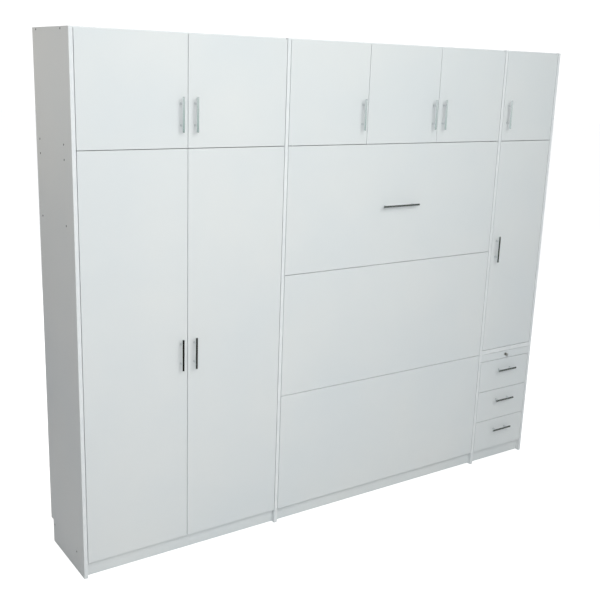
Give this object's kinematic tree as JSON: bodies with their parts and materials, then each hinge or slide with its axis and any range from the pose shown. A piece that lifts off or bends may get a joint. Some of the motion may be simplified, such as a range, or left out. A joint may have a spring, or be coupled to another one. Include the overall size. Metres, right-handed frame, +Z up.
{
  "type": "murphy wall bed",
  "caption": "Wall unit with a fold-down bed between a two-door wardrobe and a column with a door over drawers, under a row of upper boxes with bar handles.",
  "frame": {"origin": "on the floor, in the middle of the unit's width and of its depth from the handles' front to the wall", "axes": "+X to the right seen from the front, +Y from the front towards the wall, +Z up"},
  "size_m": [2.992, 0.482, 2.52],
  "materials": {
    "white_melamine": "white melamine-faced chipboard, satin",
    "white_hardboard": "white lacquered hardboard",
    "softwood": "planed softwood",
    "chromed_steel": "polished chrome",
    "plated_steel": "nickel or zinc plated steel",
    "grey_frame_paint": "grey powder coat",
    "black_strut_paint": "black gloss paint",
    "birch_plywood": "clear lacquered birch plywood",
    "mattress_ticking": "quilted knit ticking",
    "strap_webbing": "woven polyester webbing",
    "black_rubber": "matt moulded rubber"
  },
  "bodies": {
    "cabinet": {"lower_uprights": "white_melamine", "upper_uprights": "white_melamine", "lower_boards": "white_melamine", "upper_boards": "white_melamine", "shelves": "white_melamine", "drawer_unit_top": "white_melamine", "plinth_boards": "white_melamine", "back_boards": "white_hardboard", "wall_battens": "softwood", "carcass_screws": "plated_steel", "hanging_rail": "chromed_steel", "bed_stops": "black_rubber", "hinge_plates": "plated_steel", "drawer_runners": "plated_steel", "lock_rail": "white_melamine", "lock_barrel": "plated_steel", "bed_mounting_plates": "plated_steel"},
    "wardrobe_door_left": {"wardrobe_door_left": "white_melamine", "wardrobe_door_left_fittings": "chromed_steel"},
    "wardrobe_door_right": {"wardrobe_door_right": "white_melamine", "wardrobe_door_right_fittings": "chromed_steel"},
    "upper_wardrobe_door_left": {"upper_wardrobe_door_left": "white_melamine", "upper_wardrobe_door_left_fittings": "chromed_steel"},
    "upper_wardrobe_door_right": {"upper_wardrobe_door_right": "white_melamine", "upper_wardrobe_door_right_fittings": "chromed_steel"},
    "upper_bed_door_left": {"upper_bed_door_left": "white_melamine", "upper_bed_door_left_fittings": "chromed_steel"},
    "upper_bed_door_centre": {"upper_bed_door_centre": "white_melamine", "upper_bed_door_centre_fittings": "chromed_steel"},
    "upper_bed_door_right": {"upper_bed_door_right": "white_melamine", "upper_bed_door_right_fittings": "chromed_steel"},
    "column_door": {"column_door": "white_melamine", "column_door_fittings": "chromed_steel"},
    "upper_column_door": {"upper_column_door": "white_melamine", "upper_column_door_fittings": "chromed_steel"},
    "drawer_top": {"drawer_top_front": "white_melamine", "drawer_top_box": "white_melamine", "drawer_top_handle": "chromed_steel"},
    "drawer_middle": {"drawer_middle_front": "white_melamine", "drawer_middle_box": "white_melamine", "drawer_middle_handle": "chromed_steel"},
    "drawer_bottom": {"drawer_bottom_front": "white_melamine", "drawer_bottom_box": "white_melamine", "drawer_bottom_handle": "chromed_steel"},
    "lock_plug": {"lock_plug": "plated_steel", "lock_key": "plated_steel"},
    "bed": {"bed_face_panels": "white_melamine", "bed_handle": "chromed_steel", "bed_side_rails": "grey_frame_paint", "bed_cross_rails": "grey_frame_paint", "bed_slats": "birch_plywood", "mattress_foot_board": "white_melamine", "mattress": "mattress_ticking", "mattress_straps": "strap_webbing", "bed_brackets": "plated_steel"},
    "bed_leg": {"bed_leg": "grey_frame_paint"},
    "left_strut_cylinder": {"left_strut_cylinder": "black_strut_paint"},
    "left_strut_rod": {"left_strut_rod": "plated_steel"},
    "right_strut_cylinder": {"right_strut_cylinder": "black_strut_paint"},
    "right_strut_rod": {"right_strut_rod": "plated_steel"}
  },
  "joints": [
    {"name": "wardrobe_door_left_hinge", "type": "hinge", "parent": "cabinet", "child": "wardrobe_door_left", "pos_m": [-1.4765, -0.209, 1.0465], "axis": [0, 0, -1], "range_deg": [0, 105]},
    {"name": "wardrobe_door_right_hinge", "type": "hinge", "parent": "cabinet", "child": "wardrobe_door_right", "pos_m": [-0.4295, -0.209, 1.0465], "axis": [0, 0, 1], "range_deg": [0, 88]},
    {"name": "upper_wardrobe_door_left_hinge", "type": "hinge", "parent": "cabinet", "child": "upper_wardrobe_door_left", "pos_m": [-1.4765, -0.209, 2.266], "axis": [0, 0, -1], "range_deg": [0, 105]},
    {"name": "upper_wardrobe_door_right_hinge", "type": "hinge", "parent": "cabinet", "child": "upper_wardrobe_door_right", "pos_m": [-0.4295, -0.209, 2.266], "axis": [0, 0, 1], "range_deg": [0, 88]},
    {"name": "upper_bed_door_left_hinge", "type": "hinge", "parent": "cabinet", "child": "upper_bed_door_left", "pos_m": [-0.4085, -0.209, 2.266], "axis": [0, 0, -1], "range_deg": [0, 88]},
    {"name": "upper_bed_door_centre_hinge", "type": "hinge", "parent": "cabinet", "child": "upper_bed_door_centre", "pos_m": [0.07383, -0.209, 2.266], "axis": [0, 0, -1], "range_deg": [0, 95]},
    {"name": "upper_bed_door_right_hinge", "type": "hinge", "parent": "cabinet", "child": "upper_bed_door_right", "pos_m": [1.0385, -0.209, 2.266], "axis": [0, 0, 1], "range_deg": [0, 95]},
    {"name": "column_door_hinge", "type": "hinge", "parent": "cabinet", "child": "column_door", "pos_m": [1.4765, -0.209, 1.3825], "axis": [0, 0, 1], "range_deg": [0, 105]},
    {"name": "upper_column_door_hinge", "type": "hinge", "parent": "cabinet", "child": "upper_column_door", "pos_m": [1.4765, -0.209, 2.266], "axis": [0, 0, 1], "range_deg": [0, 105]},
    {"name": "drawer_top_slide", "type": "slide", "parent": "cabinet", "child": "drawer_top", "axis": [0, -1, 0], "range_m": [0, 0.33]},
    {"name": "drawer_middle_slide", "type": "slide", "parent": "cabinet", "child": "drawer_middle", "axis": [0, -1, 0], "range_m": [0, 0.33]},
    {"name": "drawer_bottom_slide", "type": "slide", "parent": "cabinet", "child": "drawer_bottom", "axis": [0, -1, 0], "range_m": [0, 0.33]},
    {"name": "lock_turn", "type": "hinge", "parent": "cabinet", "child": "lock_plug", "pos_m": [1.268, -0.209, 0.69775], "axis": [0, 1, 0], "range_deg": [0, 90]},
    {"name": "bed_fold", "type": "hinge", "parent": "cabinet", "child": "bed", "pos_m": [0.315, -0.099, 0.372], "axis": [1, 0, 0], "range_deg": [0, 90], "stiffness_Nm_per_rad": 210, "springref_deg": -40.11},
    {"name": "leg_swing", "type": "hinge", "parent": "bed", "child": "bed_leg", "pos_m": [0.315, -0.175, 1.7], "axis": [1, 0, 0], "range_deg": [0, 180]},
    {"name": "left_strut_tilt", "type": "hinge", "parent": "cabinet", "child": "left_strut_cylinder", "pos_m": [-0.392, 0.001, 1.002], "axis": [1, 0, 0], "range_deg": [0, 6]},
    {"name": "left_strut_stroke", "type": "slide", "parent": "left_strut_cylinder", "child": "left_strut_rod", "axis": [0, -0.0955, -0.9954], "range_m": [-0.134, 0]},
    {"name": "right_strut_tilt", "type": "hinge", "parent": "cabinet", "child": "right_strut_cylinder", "pos_m": [1.022, 0.001, 1.002], "axis": [1, 0, 0], "range_deg": [0, 6]},
    {"name": "right_strut_stroke", "type": "slide", "parent": "right_strut_cylinder", "child": "right_strut_rod", "axis": [0, -0.0955, -0.9954], "range_m": [-0.134, 0]}
  ],
  "couplings": [
    {"joint": "leg_swing", "follows": "bed_fold", "ratio": 2},
    {"joint": "left_strut_tilt", "follows": "bed_fold", "ratio": 0.06086},
    {"joint": "left_strut_stroke", "follows": "bed_fold", "m_per_rad": -0.084892},
    {"joint": "right_strut_tilt", "follows": "bed_fold", "ratio": 0.06086},
    {"joint": "right_strut_stroke", "follows": "bed_fold", "m_per_rad": -0.084892}
  ]
}
